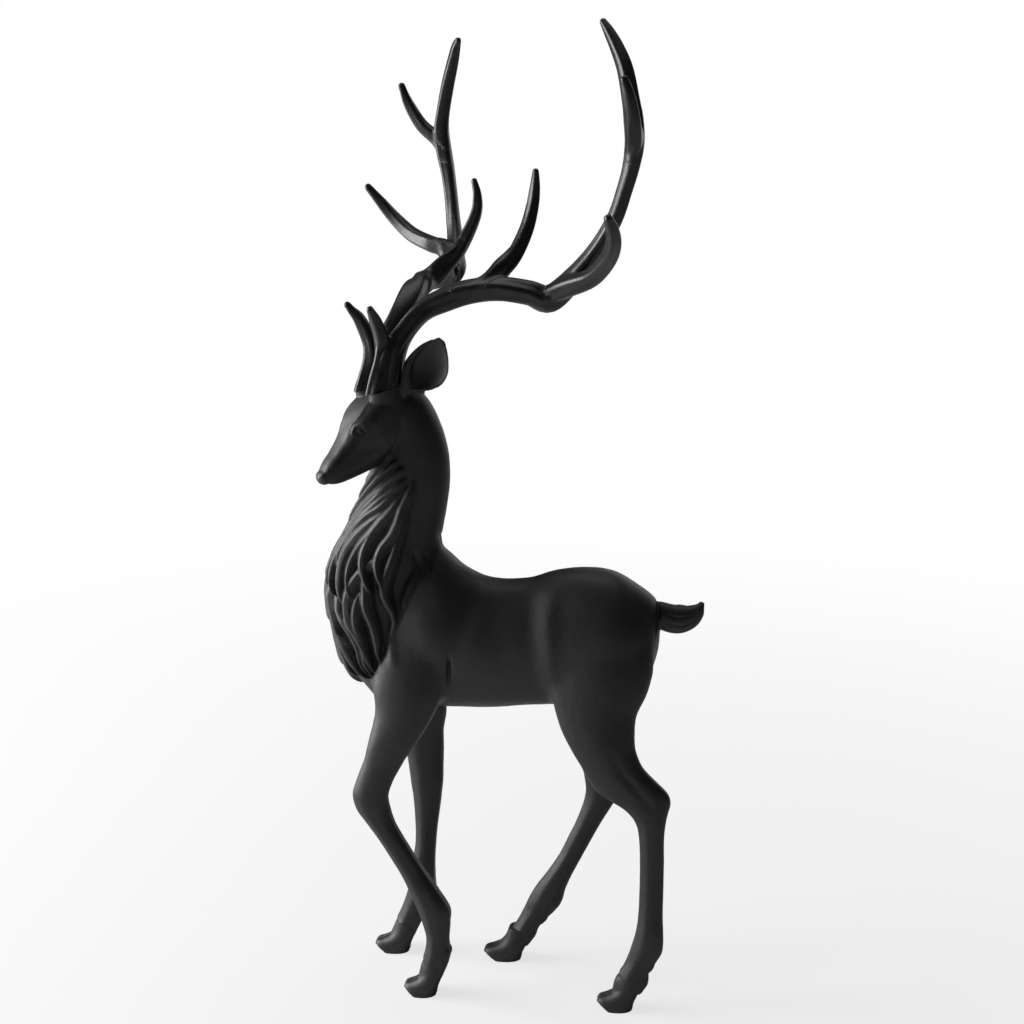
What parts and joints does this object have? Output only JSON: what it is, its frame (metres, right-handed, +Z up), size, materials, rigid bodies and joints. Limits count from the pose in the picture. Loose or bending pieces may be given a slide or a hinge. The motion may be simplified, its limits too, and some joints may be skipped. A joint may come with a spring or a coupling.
{
  "type": "deer statue",
  "caption": "Standing stag statue in black resin, stepping forward with its head turned, with a carved neck mane and tall swept antlers.",
  "frame": {"origin": "centre of the whole figure's bounding box on plan, on the plane of the soles", "axes": "+Z up, the stag walks toward -X, its left side and the turned head face -Y"},
  "size_m": [0.2391, 0.213, 0.6017],
  "materials": {
    "resin_matte_black": "matte black",
    "resin_satin_black": "satin black"
  },
  "bodies": {
    "root": {"body": "resin_matte_black", "antler_left": "resin_satin_black", "antler_right": "resin_satin_black"}
  },
  "joints": []
}
